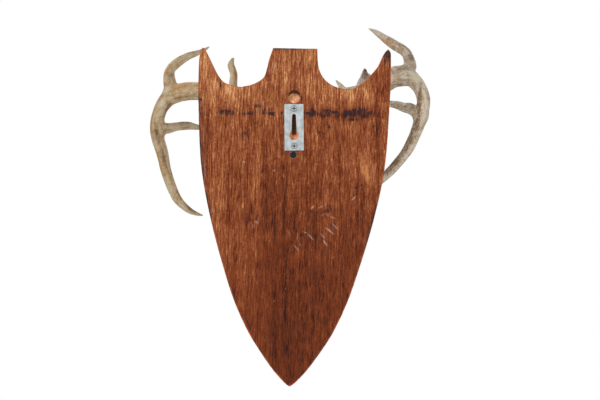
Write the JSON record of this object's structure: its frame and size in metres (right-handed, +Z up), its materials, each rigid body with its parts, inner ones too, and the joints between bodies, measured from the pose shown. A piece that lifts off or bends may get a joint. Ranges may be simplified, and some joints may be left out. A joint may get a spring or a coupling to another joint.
{
  "type": "deer skull mount",
  "caption": "Antlered deer skull screwed to a stained shield-shaped wall board with a keyhole hanger plate on its back.",
  "frame": {"origin": "on the outer face of the keyhole plate, on the bridge between the slot's upper end and the upper plate screw", "axes": "+Z up, +Y into the wall that the mount hangs on, -Y out into the room; +X is to the right of someone who faces the skull"},
  "size_m": [0.4027, 0.3658, 0.4971],
  "materials": {
    "stained_board_wood": "brown stain over open grain, satin, worn at the edges",
    "zinc_plated_steel": "galvanised, dull",
    "black_screw_steel": "black phosphate, matte",
    "bone_and_antler": "dry bone, grooved antler"
  },
  "bodies": {
    "root": {"shield_board": "stained_board_wood", "keyhole_plate": "zinc_plated_steel", "plate_screw_upper": "zinc_plated_steel", "plate_screw_lower": "zinc_plated_steel", "skull_screw": "black_screw_steel", "skull_and_antlers": "bone_and_antler"}
  },
  "joints": []
}
